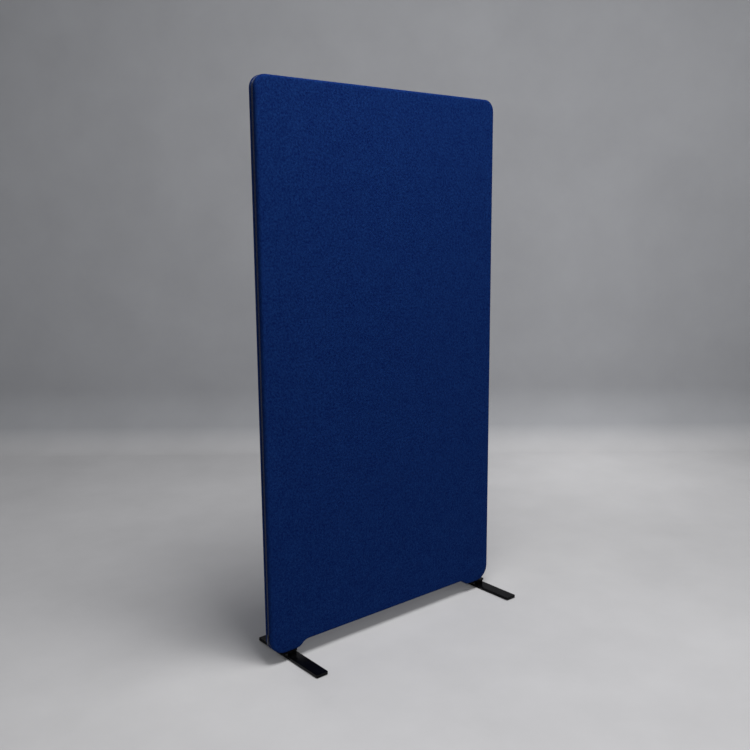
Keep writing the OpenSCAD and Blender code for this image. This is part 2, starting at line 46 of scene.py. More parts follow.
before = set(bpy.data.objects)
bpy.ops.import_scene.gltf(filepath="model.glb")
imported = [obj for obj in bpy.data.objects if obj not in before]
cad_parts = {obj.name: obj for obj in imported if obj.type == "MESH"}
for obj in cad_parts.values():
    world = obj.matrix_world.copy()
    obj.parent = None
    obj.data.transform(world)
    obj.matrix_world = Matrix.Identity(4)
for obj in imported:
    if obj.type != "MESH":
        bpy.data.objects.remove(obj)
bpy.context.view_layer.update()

MM = 0.001
STRIP_MAP = "strip"
SHARP_ANGLE = math.radians(32.0)
Colour = tuple[float, float, float]
Triple = tuple[float, float, float]


class Side(Enum):
    """Front or rear half of the panel: the sign of its y."""

    FRONT = -1
    REAR = 1

    @property
    def word(self) -> str:
        """Name of the half, as used in the names of pieces and nodes."""
        return self.name.lower()


class Foot(Enum):
    """Left or right foot."""

    LEFT = "left"
    RIGHT = "right"


class Body(Enum):
    """The rigid bodies of the CAD model."""

    SCREEN = "screen"
    SLIDER = "slider"
    PULL = "pull"


def srgb(red: int, green: int, blue: int) -> Colour:
    """Turns an sRGB colour of 0 to 255 into the linear colour that shaders take.

    Args:
        red: Red level.
        green: Green level.
        blue: Blue level.

    Returns:
        The linear colour.
    """
    levels = np.array((red, green, blue)) / 255
    linear = np.where(levels <= 0.04045, levels / 12.92, ((levels + 0.055) / 1.055) ** 2.4)
    return tuple(float(v) for v in linear)


# Shader nodes


# Range that holds nearly all values of a noise
NOISE_SPAN = (0.3, 0.7)
BLACK: Colour = (0.0, 0.0, 0.0)
Sockets = dict[str, bpy.types.NodeSocket]


class Shading:
    """A node tree with short calls to add nodes and join their sockets."""

    def __init__(self, tree: bpy.types.NodeTree) -> None:
        """Keeps the tree.

        Args:
            tree: The tree that nodes are added to.
        """
        self.tree = tree

    @classmethod
    def of(cls, owner: bpy.types.Material | bpy.types.World) -> Shading:
        """Starts the node tree of a material or a world afresh.

        Args:
            owner: The material or the world.

        Returns:
            Its empty tree.
        """
        owner.use_nodes = True
        owner.node_tree.nodes.clear()
        return cls(owner.node_tree)

    def add(self, kind: str, inputs: dict | None = None, **settings: object) -> bpy.types.Node:
        """Adds a node, sets its properties and fills or joins its inputs.

        Args:
            kind: Type of the node, without its ShaderNode prefix where it has one.
            inputs: Input name or number to a value, or to an output socket that is joined to it. A
                colour has three values.
            settings: Properties of the node.

        Returns:
            The node.
        """
        prefix = "" if kind.startswith("NodeGroup") else "ShaderNode"
        node = self.tree.nodes.new(prefix + kind)
        for name, value in settings.items():
            setattr(node, name, value)
        for name, value in (inputs or {}).items():
            socket = node.inputs[name]
            if isinstance(value, bpy.types.NodeSocket):
                self.tree.links.new(value, socket)
            elif socket.type == "RGBA":
                socket.default_value = (*value, 1.0)
            else:
                socket.default_value = value
        return node

    def effect(self, effect: SharedEffect, inputs: dict) -> bpy.types.NodeOutputs:
        """Adds a shared effect.

        Args:
            effect: The effect.
            inputs: Input name to a value or an output socket.

        Returns:
            The effect's outputs.
        """
        return self.add("Group", inputs, node_tree=effect.group()).outputs

    def noise(self, place: bpy.types.NodeSocket, scale: object, detail: float = 2.0,
              roughness: float = 0.5, distortion: float = 0.0) -> bpy.types.NodeSocket:
        """Adds a noise texture.

        Args:
            place: Coordinates that it reads.
            scale: Cells per metre, a number or a socket.
            detail: Octaves.
            roughness: Weight of the finer octaves.
            distortion: Warp of the cells.

        Returns:
            Its value output.
        """
        node = self.add("TexNoise", {"Vector": place, "Scale": scale, "Detail": detail,
                                     "Roughness": roughness, "Distortion": distortion})
        return node.outputs["Fac"]

    def math(self, operation: str, *values: object, clamp: bool = False) -> bpy.types.NodeSocket:
        """Adds a Math node.

        Args:
            operation: The operation.
            values: Numbers or sockets.
            clamp: Whether the result is kept from 0 to 1.

        Returns:
            Its output.
        """
        return self.add("Math", dict(enumerate(values)), operation=operation, use_clamp=clamp).outputs[0]

    def times(self, first: object, second: object) -> bpy.types.NodeSocket:
        """Multiplies two values.

        Args:
            first: Number or socket.
            second: Number or socket.

        Returns:
            The product.
        """
        return self.math("MULTIPLY", first, second)

    def span(self, value: bpy.types.NodeSocket, low: float, high: float, start: float = 0.0,
             end: float = 1.0) -> bpy.types.NodeSocket:
        """Maps a value's range onto another, kept inside it.

        Args:
            value: The value.
            low: Value that becomes start.
            high: Value that becomes end.
            start: First end of the new range.
            end: Second end of the new range.

        Returns:
            The mapped value.
        """
        node = self.add("MapRange", {"Value": value, "From Min": low, "From Max": high,
                                     "To Min": start, "To Max": end})
        return node.outputs["Result"]

    def mix(self, share: object, first: object, second: object,
            blend: str = "MIX") -> bpy.types.NodeSocket:
        """Mixes two colours.

        Args:
            share: Share of the second colour.
            first: First colour or socket.
            second: Second colour or socket.
            blend: Blend type.

        Returns:
            The mixed colour.
        """
        return self.add("Mix", {0: share, 6: first, 7: second}, data_type="RGBA", blend_type=blend).outputs[2]

    def moved(self, place: bpy.types.NodeSocket, stretch: Triple = (1.0, 1.0, 1.0),
              turn: Triple = (0.0, 0.0, 0.0)) -> bpy.types.NodeSocket:
        """Turns coordinates and then stretches what they carry.

        Args:
            place: The coordinates.
            stretch: How many times longer the pattern becomes along each turned axis.
            turn: Turn about each axis, in radians.

        Returns:
            The new coordinates.
        """
        node = self.add("Mapping", {"Vector": place, "Scale": stretch, "Rotation": turn},
                        vector_type="TEXTURE")
        return node.outputs["Vector"]

    def bump(self, height: bpy.types.NodeSocket, depth: float,
             strength: float = 1.0) -> bpy.types.NodeSocket:
        """Turns a height into a normal.

        Args:
            height: Height from 0 to 1.
            depth: Height of 1 in metres.
            strength: Strength of the effect.

        Returns:
            The normal.
        """
        return self.add("Bump", {"Height": height, "Distance": depth, "Strength": strength}).outputs["Normal"]


@dataclass(frozen=True)
class EffectPlan:
    """What a shared effect's node group takes, gives and holds.

    An input's default value also tells its type: none for coordinates, a number, or a colour.
    """

    build: Callable[[Shading, bpy.types.NodeOutputs], Sockets]
    inputs: dict
    outputs: tuple[str, ...]

    def fill(self, tree: bpy.types.NodeTree) -> None:
        """Gives a new node group its sockets and its nodes.

        Args:
            tree: The empty group.
        """
        for name, value in self.inputs.items():
            kind = "Vector" if value is None else "Color" if isinstance(value, tuple) else "Float"
            socket = tree.interface.new_socket(name=name, in_out="INPUT", socket_type="NodeSocket" + kind)
            if value is not None:
                socket.default_value = (*value, 1.0) if kind == "Color" else value
        for name in self.outputs:
            kind = "Color" if name == "Color" else "Float"
            tree.interface.new_socket(name=name, in_out="OUTPUT", socket_type="NodeSocket" + kind)
        s = Shading(tree)
        s.add("NodeGroupOutput", self.build(s, s.add("NodeGroupInput").outputs))


class SharedEffect(Enum):
    """Effects that several finishes use, each a node group that is built once."""

    FIBRES = "felted fibres"
    GRAIN = "wood grain"
    WEAVE = "woven tape"
    DUST = "settled dust"
    ORANGE_PEEL = "coated metal"

    def group(self) -> bpy.types.NodeTree:
        """Returns the effect's node group, and builds it the first time."""
        tree = bpy.data.node_groups.get(self.value)
        if tree is None:
            tree = bpy.data.node_groups.new(self.value, "ShaderNodeTree")
            EFFECT_PLANS[self].fill(tree)
        return tree


def fibres_effect(s: Shading, given: bpy.types.NodeOutputs) -> Sockets:
    """Felted fibres: clumps of wool, small tufts, single light fibres and broad uneven milling.

    Clumps and tufts are a coarse and a fine noise. Fibres are the thin ridges where a stretched noise
    is near its middle, laid in three directions. Colour and height are weighted sums of the three.

    Args:
        s: The group's nodes.
        given: The group's inputs.

    Returns:
        The group's results by name.
    """
    clump_share, clump_tone, clump_relief = 0.28, 0.43, 0.55
    fibre_share, fibre_weight, fibre_turns = 1.1, 0.42, (0.4, 1.5, -0.8)
    tuft_weight, milling_tone = 0.3, 0.06
    place, scale = given["Place"], given["Tuft Scale"]
    clumps = s.span(s.noise(place, s.times(scale, clump_share), 1.0), *NOISE_SPAN)
    tufts = s.span(s.noise(place, scale, 3.0, 0.65), *NOISE_SPAN)
    fibres = None
    for turn in fibre_turns:
        strands = s.moved(place, (1.0, 1.0, 5.0), (0.3, turn, 0.0))
        line = s.noise(strands, s.times(scale, fibre_share), 1.0, 0.5, 0.8)
        ridge = s.span(s.math("ABSOLUTE", s.math("SUBTRACT", line, 0.5)), 0.0, 0.03, 1.0, 0.0)
        fibres = ridge if fibres is None else s.math("MAXIMUM", fibres, ridge)
    milling = s.span(s.noise(place, 28.0, 3.0, 0.6), *NOISE_SPAN, -milling_tone, milling_tone)
    fine = s.math("ADD", s.times(tufts, tuft_weight), s.times(fibres, fibre_weight))
    tone = s.times(s.math("ADD", fine, s.times(clumps, clump_tone)), given["Fleck"])
    level = s.math("ADD", tone, milling, clamp=True)
    return {"Color": s.mix(level, given["Dark"], given["Light"]),
            "Height": s.math("ADD", fine, s.times(clumps, clump_relief))}


def grain_effect(s: Shading, given: bpy.types.NodeOutputs) -> Sockets:
    """Planed softwood: growth rings along the length, pores and a few streaks.

    The grain runs along the group's own z. Rings are bands of a noise stretched fortyfold along z;
    pores are the dark ends of a finer one.

    Args:
        s: The group's nodes.
        given: The group's inputs.

    Returns:
        The group's results by name.
    """
    place = given["Place"]
    ring_count = 11.0
    broad = s.noise(s.moved(place, (1.0, 1.0, 40.0)), 26.0, 3.0, 0.55, 0.6)
    rings = s.math("FRACT", s.times(broad, ring_count))
    late = s.times(s.span(rings, 0.45, 0.95), s.span(rings, 1.0, 0.93))
    pores = s.span(s.noise(s.moved(place, (1.0, 1.0, 25.0)), 1400.0, 2.0), 0.34, 0.26)
    tone = s.mix(s.times(late, 0.75), given["Early"], given["Late"])
    return {"Color": s.mix(s.times(pores, 0.45), tone, given["Late"]),
            "Height": s.math("SUBTRACT", s.times(late, 0.5), pores),
            "Roughness": s.span(late, 0.0, 1.0, 0.62, 0.5)}


def weave_effect(s: Shading, given: bpy.types.NodeOutputs) -> Sockets:
    """Woven tape: a fine twill, from the strip's own length and width.

    The place's x is the length along the tape and its y the width across, in metres. Weft rows cross
    warp threads, and each row is set over by half a thread, which gives the slanting ribs. Shade is
    painted shade: the colour darkens from the threads' crests down into the grooves between them.

    Args:
        s: The group's nodes.
        given: The group's inputs.

    Returns:
        The group's results by name.
    """
    parts = s.add("SeparateXYZ", {0: given["Place"]}).outputs
    along = s.math("DIVIDE", parts["X"], given["Thread"])
    across = s.math("DIVIDE", parts["Y"], given["Thread"])
    slant = s.math("ADD", across, s.times(s.math("FLOOR", along), 0.5))
    warp, weft = (s.math("POWER", s.math("ABSOLUTE", s.math("SINE", s.times(v, math.pi))), 0.6)
                  for v in (slant, along))
    height = s.times(warp, weft)
    # Painted shade: the tape's colour falls from 1 on the thread crests to 0.45 in the grooves.
    return {"Height": height, "Shade": s.span(height, 0.0, 1.0, 0.45, 1.0)}


def dust_effect(s: Shading, given: bpy.types.NodeOutputs) -> Sockets:
    """Settled dust: a thin, patchy film on what faces up.

    The mask is how far the surface faces up, times a broad noise and a fine one.

    Args:
        s: The group's nodes.
        given: The group's inputs.

    Returns:
        The group's results by name.
    """
    up = s.add("SeparateXYZ", {0: s.add("NewGeometry").outputs["Normal"]}).outputs["Z"]
    patches = s.span(s.noise(given["Place"], 35.0, 4.0, 0.6), 0.35, 0.75)
    specks = s.span(s.noise(given["Place"], 2600.0, 1.0), 0.5, 0.72)
    film = s.times(s.span(up, 0.55, 1.0), s.math("ADD", s.times(patches, 0.6), specks))
    return {"Mask": s.math("MULTIPLY", film, given["Amount"], clamp=True)}


def orange_peel_effect(s: Shading, given: bpy.types.NodeOutputs) -> Sockets:
    """Powder-coated metal: a pebbled skin, with faint rubbed patches.

    Height is a fine even noise. Rubbed is a thin tail of a broad noise, broken up by a finer one.

    Args:
        s: The group's nodes.
        given: The group's inputs.

    Returns:
        The group's results by name.
    """
    place = given["Place"]
    streaks = s.noise(s.moved(place, (1.0, 7.0, 1.0)), 700.0, 2.0)
    rubbed = s.times(s.span(s.noise(place, 40.0, 3.0), 0.52, 0.7), s.span(streaks, 0.5, 0.65))
    return {"Height": s.noise(place, given["Pebble"], 1.5, 0.4), "Rubbed": rubbed}


EFFECT_PLANS: dict[SharedEffect, EffectPlan] = {
    SharedEffect.FIBRES: EffectPlan(
        fibres_effect,
        {"Place": None, "Tuft Scale": 520.0, "Fleck": 0.5, "Dark": BLACK, "Light": (1.0, 1.0, 1.0)},
        ("Color", "Height")),
    SharedEffect.GRAIN: EffectPlan(
        grain_effect, {"Place": None, "Early": (0.7, 0.5, 0.3), "Late": (0.4, 0.2, 0.1)},
        ("Color", "Height", "Roughness")),
    SharedEffect.WEAVE: EffectPlan(weave_effect, {"Place": None, "Thread": 0.0004}, ("Height", "Shade")),
    SharedEffect.DUST: EffectPlan(dust_effect, {"Place": None, "Amount": 0.1}, ("Mask",)),
    SharedEffect.ORANGE_PEEL: EffectPlan(
        orange_peel_effect, {"Place": None, "Pebble": 900.0}, ("Height", "Rubbed")),
}


# Finishes


@dataclass(frozen=True)
class Finish:
    """What every finish has: a name, a slot name and a material that is built once."""

    name: str
    slot: str

    def material(self) -> bpy.types.Material:
        """Returns the finish's material, and builds it the first time."""
        material = bpy.data.materials.get(self.name)
        if material is None:
            material = bpy.data.materials.new(self.name)
            s = Shading.of(material)
            shader = s.add("BsdfPrincipled", self.look(s, s.add("TexCoord").outputs["Object"]))
            s.add("OutputMaterial", {"Surface": shader.outputs["BSDF"]})
        return material

    def look(self, s: Shading, place: bpy.types.NodeSocket) -> dict:
        """What goes into the Principled shader. Each finish has its own.

        Args:
            s: The material's nodes.
            place: Object coordinates.

        Returns:
            Input name to a value or an output socket.
        """
        raise NotImplementedError


@dataclass(frozen=True)
class Felt(Finish):
    """Milled wool felt, matt, with light fibres in a dark ground."""

    dark: Colour = BLACK
    light: Colour = BLACK
    tuft_scale: float = 520.0
    fleck: float = 1.0
    nap_depth: float = 0.8 * MM
    sheen: float = 0.1
    sheen_tint: Colour = (1.0, 1.0, 1.0)
    gloss: float = 0.2

    def look(self, s: Shading, place: bpy.types.NodeSocket) -> dict:
        """Fibres give the colour and the bump; the sheen is the nap's own."""
        fibres = s.effect(SharedEffect.FIBRES, {
            "Place": place, "Tuft Scale": self.tuft_scale, "Fleck": self.fleck,
            "Dark": self.dark, "Light": self.light})
        return {"Base Color": fibres["Color"], "Normal": s.bump(fibres["Height"], self.nap_depth, 0.8),
                "Roughness": 0.85, "Specular IOR Level": self.gloss, "Sheen Weight": self.sheen,
                "Sheen Roughness": 0.5, "Sheen Tint": self.sheen_tint}


@dataclass(frozen=True)
class Timber(Finish):
    """Planed wood with its grain along one axis."""

    early: Colour = BLACK
    late: Colour = BLACK
    across: bool = False

    def look(self, s: Shading, place: bpy.types.NodeSocket) -> dict:
        """Grain along z, or along x for what lies across the panel."""
        turn = (0.0, math.pi / 2, 0.0) if self.across else (0.0, 0.0, 0.0)
        grain = s.effect(SharedEffect.GRAIN, {
            "Place": s.moved(place, turn=turn), "Early": self.early, "Late": self.late})
        return {"Base Color": grain["Color"], "Roughness": grain["Roughness"],
                "Normal": s.bump(grain["Height"], 0.15 * MM)}


@dataclass(frozen=True)
class Tape(Finish):
    """Woven zip tape, which follows the strip's own map."""

    colour: Colour = BLACK
    thread: float = 0.45 * MM

    def look(self, s: Shading, place: bpy.types.NodeSocket) -> dict:
        """Twill ribs from the strip's length and width, with a slightly uneven dye."""
        strip = s.add("UVMap", uv_map=STRIP_MAP).outputs["UV"]
        weave = s.effect(SharedEffect.WEAVE, {"Place": strip, "Thread": self.thread})
        dye = s.span(s.noise(place, 90.0, 3.0), *NOISE_SPAN, 0.85, 1.1)
        # The weave's Shade is painted shade: it darkens the tape's colour down in the grooves of the weave.
        return {"Base Color": s.mix(s.times(weave["Shade"], dye), BLACK, self.colour),
                "Normal": s.bump(weave["Height"], 0.12 * MM), "Roughness": 0.8, "Sheen Weight": 0.1}


@dataclass(frozen=True)
class Filament(Finish):
    """Plastic or thread with a soft shine: the zip's coils and the sewing thread."""

    colour: Colour = BLACK
    shine: float = 0.35

    def look(self, s: Shading, place: bpy.types.NodeSocket) -> dict:
        """Fine uneven colour and roughness."""
        patches = s.noise(place, 300.0, 3.0)
        darker = tuple(0.8 * c for c in self.colour)
        return {"Base Color": s.mix(s.span(patches, *NOISE_SPAN), darker, self.colour),
                "Roughness": s.span(patches, *NOISE_SPAN, self.shine, self.shine + 0.12),
                "Normal": s.bump(s.noise(place, 4000.0, 1.0), 0.03 * MM)}


@dataclass(frozen=True)
class PowderCoat(Finish):
    """Semi-gloss powder coat on steel, with faint rubbing and a film of dust."""

    colour: Colour = BLACK
    rubbed: Colour = BLACK
    dust: Colour = BLACK
    roughness: float = 0.2
    gloss: float = 0.09
    dust_amount: float = 0.12

    def look(self, s: Shading, place: bpy.types.NodeSocket) -> dict:
        """Pebbled skin, rubbed patches and dust mixed over the coat."""
        skin = s.effect(SharedEffect.ORANGE_PEEL, {"Place": place, "Pebble": 850.0})
        dust = s.effect(SharedEffect.DUST, {"Place": place, "Amount": self.dust_amount})["Mask"]
        worn = s.mix(s.times(skin["Rubbed"], 0.5), self.colour, self.rubbed)
        rough = s.math("ADD", s.times(dust, 0.8),
                       s.math("ADD", s.times(skin["Rubbed"], 0.1), self.roughness))
        return {"Base Color": s.mix(dust, worn, self.dust), "Roughness": rough,
                "Specular IOR Level": self.gloss, "Normal": s.bump(skin["Height"], 0.05 * MM)}


@dataclass(frozen=True)
class BareMetal(Finish):
    """Plated metal with fine scratches."""

    colour: Colour = BLACK
    roughness: float = 0.25

    def look(self, s: Shading, place: bpy.types.NodeSocket) -> dict:
        """Cloudy plating, fine scratches in the roughness and a faint bump."""
        clouds = s.span(s.noise(place, 220.0, 3.0), *NOISE_SPAN)
        scratches = s.noise(s.moved(place, (1.0, 12.0, 1.0)), 5200.0, 2.0)
        return {"Base Color": s.mix(clouds, tuple(0.82 * c for c in self.colour), self.colour),
                "Metallic": 1.0,
                "Roughness": s.span(scratches, 0.35, 0.65, self.roughness, self.roughness + 0.18),
                "Normal": s.bump(scratches, 0.01 * MM)}


@dataclass(frozen=True)
class FibreBoard(Finish):
    """Pressed slab of mixed recycled fibres."""

    ground: Colour = BLACK
    light: Colour = BLACK
    speck: Colour = BLACK

    def look(self, s: Shading, place: bpy.types.NodeSocket) -> dict:
        """Fibres over a grey ground, with coloured specks."""
        fibres = s.effect(SharedEffect.FIBRES, {
            "Place": place, "Tuft Scale": 260.0, "Fleck": 0.9, "Dark": self.ground, "Light": self.light})
        specks = s.span(s.noise(place, 420.0, 2.0), 0.62, 0.68)
        return {"Base Color": s.mix(specks, fibres["Color"], self.speck), "Roughness": 0.95,
                "Normal": s.bump(fibres["Height"], 1.2 * MM)}


@dataclass(frozen=True)
class MattRubber(Finish):
    """Matt black rubber with a little floor dust."""

    colour: Colour = BLACK
    dust: Colour = BLACK

    def look(self, s: Shading, place: bpy.types.NodeSocket) -> dict:
        """Even colour, broken by dust in patches."""
        most = 0.35
        patches = s.span(s.noise(place, 160.0, 4.0), 0.5, 0.8, 0.0, most)
        return {"Base Color": s.mix(patches, self.colour, self.dust),
                "Roughness": s.span(patches, 0.0, most, 0.7, 0.9),
                "Normal": s.bump(s.noise(place, 1500.0, 2.0), 0.04 * MM)}


NAVY_FELT = Felt("navy felt", "felt", dark=(0.0, 0.002, 0.044), light=(0.0065, 0.03, 0.129),
                 sheen=0.01, sheen_tint=(0.05, 0.3, 1.0), gloss=0.02)
WADDING = Felt("white wadding", "wadding", dark=srgb(196, 196, 190), light=srgb(236, 236, 232),
               tuft_scale=160.0, fleck=0.9, nap_depth=1.5 * MM, sheen=0.3)
STILE_WOOD = Timber("softwood upright", "frame_wood", early=srgb(222, 190, 142), late=srgb(178, 128, 78))
RAIL_WOOD = Timber("softwood across", "frame_wood", early=srgb(222, 190, 142), late=srgb(178, 128, 78),
                   across=True)
DOWEL_WOOD = Timber("turned beech", "dowel_wood", early=srgb(214, 178, 138), late=srgb(186, 142, 104))
ABSORBER = FibreBoard("pressed fibre", "absorber", ground=srgb(120, 124, 116), light=srgb(176, 178, 170),
                      speck=srgb(66, 84, 110))
ZIP_TAPE = Tape("navy zip tape", "zip_tape", colour=srgb(40, 48, 74))
ZIP_COIL = Filament("navy zip coil", "zip_coil", colour=srgb(74, 84, 122), shine=0.3)
SEWING_THREAD = Filament("navy sewing thread", "zip_tape", colour=srgb(34, 46, 84), shine=0.5)
GUNMETAL = BareMetal("dark nickel", "zip_metal", colour=srgb(92, 93, 100), roughness=0.28)
BLACK_STEEL = PowderCoat("black powder coat", "black_steel", colour=srgb(3, 3, 5),
                         rubbed=srgb(12, 12, 14), dust=srgb(110, 108, 103), dust_amount=0.01)
ZINC = BareMetal("zinc plate", "screw_steel", colour=srgb(168, 172, 178), roughness=0.3)
BRASS = BareMetal("brass insert", "insert_metal", colour=srgb(196, 168, 108), roughness=0.28)
GLIDE_RUBBER = MattRubber("black glide", "glide_rubber", colour=srgb(24, 24, 25), dust=srgb(96, 94, 90))


# Meshes


def new_object(name: str, data: bpy.types.ID) -> bpy.types.Object:
    """Makes an object and puts it in the scene.

    Args:
        name: Name of the object.
        data: Its mesh, lamp or camera.

    Returns:
        The object, at the origin.
    """
    thing = bpy.data.objects.new(name, data)
    bpy.context.scene.collection.objects.link(thing)
    return thing


def new_piece(name: str, points: np.ndarray, faces: np.ndarray,
              strip: np.ndarray | None = None) -> bpy.types.Object:
    """Makes a smooth mesh object from arrays.

    Args:
        name: Name of the piece.
        points: Places of the points, one row each.
        faces: Point numbers of the quads, one row each.
        strip: Optional length and width of each point along a strip, for its map.

    Returns:
        The object, at the origin.
    """
    mesh = bpy.data.meshes.new(name)
    mesh.from_pydata(points.tolist(), [], faces.tolist())
    mesh.polygons.foreach_set("use_smooth", np.ones(len(faces), dtype=bool))
    if strip is not None:
        layer = mesh.uv_layers.new(name=STRIP_MAP)
        layer.data.foreach_set("uv", strip[faces.ravel()].astype(np.float32).ravel())
    mesh.validate()
    mesh.update()
    return new_object(name, mesh)


def band(lower: np.ndarray, upper: np.ndarray, closed: bool = True) -> np.ndarray:
    """Quads between two rows of point numbers that run the same way.

    Args:
        lower: First row.
        upper: Second row.
        closed: Whether the last point joins the first.

    Returns:
        The quads.
    """
    end = None if closed else -1
    return np.stack([lower, np.roll(lower, -1), np.roll(upper, -1), upper], axis=1)[:end]


def grid_quads(number: np.ndarray) -> np.ndarray:
    """Quads between the neighbours of a grid.

    Args:
        number: Point numbers, by row and column.

    Returns:
        The quads.
    """
    return np.stack([number[:-1, :-1], number[1:, :-1], number[1:, 1:], number[:-1, 1:]],
                    axis=-1).reshape(-1, 4)


def thicken(piece: bpy.types.Object, thickness: float) -> None:
    """Gives a sheet its thickness, half to each side, and closes its rim.

    Args:
        piece: The sheet.
        thickness: Thickness in metres.
    """
    solid = piece.modifiers.new("thickness", "SOLIDIFY")
    solid.thickness = thickness
    solid.offset = 0.0
    solid.use_even_offset = True


def softened(node: str, name: str, bevel: float) -> bpy.types.Object:
    """Copies a CAD node, joins its loose triangles, rounds its sharp edges a little and shades it
    smooth between them, with normals that follow the larger faces.

    Args:
        node: Name of the CAD node, which the copy stands for.
        name: Name of the piece.
        bevel: Width of the rounding in metres, or 0 for none.

    Returns:
        The piece.
    """
    weld_distance, flat_angle = 0.002 * MM, math.radians(0.5)
    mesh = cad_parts[node].data.copy()
    mesh.name = name
    mesh.materials.clear()
    work = bmesh.new()
    work.from_mesh(mesh)
    bmesh.ops.remove_doubles(work, verts=work.verts, dist=weld_distance)
    bmesh.ops.dissolve_limit(work, angle_limit=flat_angle, verts=work.verts, edges=work.edges)
    work.to_mesh(mesh)
    work.free()
    if mesh.has_custom_normals:
        mesh.normals_split_custom_set_from_vertices([(0.0, 0.0, 0.0)] * len(mesh.vertices))
    mesh.polygons.foreach_set("use_smooth", np.ones(len(mesh.polygons), dtype=bool))
    mesh.set_sharp_from_angle(angle=SHARP_ANGLE)
    piece = new_object(name, mesh)
    if bevel:
        rounding = piece.modifiers.new("rounding", "BEVEL")
        rounding.width = bevel
        rounding.segments = 3
        rounding.limit_method = "ANGLE"
        rounding.angle_limit = SHARP_ANGLE
        rounding.use_clamp_overlap = True
    shading = piece.modifiers.new("flat faces stay flat", "WEIGHTED_NORMAL")
    shading.keep_sharp = True
    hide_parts(node)
    return piece


def settle(piece: bpy.types.Object, finish: Finish, body: Body = Body.SCREEN) -> None:
    """Dresses a new piece, puts it on its body and reports it.

    Args:
        piece: The piece.
        finish: Its finish.
        body: The body that it rides on.
    """
    piece.data.materials.clear()
    piece.data.materials.append(finish.material())
    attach(piece, body.value)
    log.info("%s: %s, %d points", piece.name, finish.name, len(piece.data.vertices))


def dress_node(node: str, finish: Finish) -> None:
    """Gives a CAD node its finish and reports it.

    Args:
        node: Name of the node.
        finish: Its finish.
    """
    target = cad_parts[node]
    target.data.materials.clear()
    target.data.materials.append(finish.material())
    log.info("%s: %s", node, finish.name)


# Panel


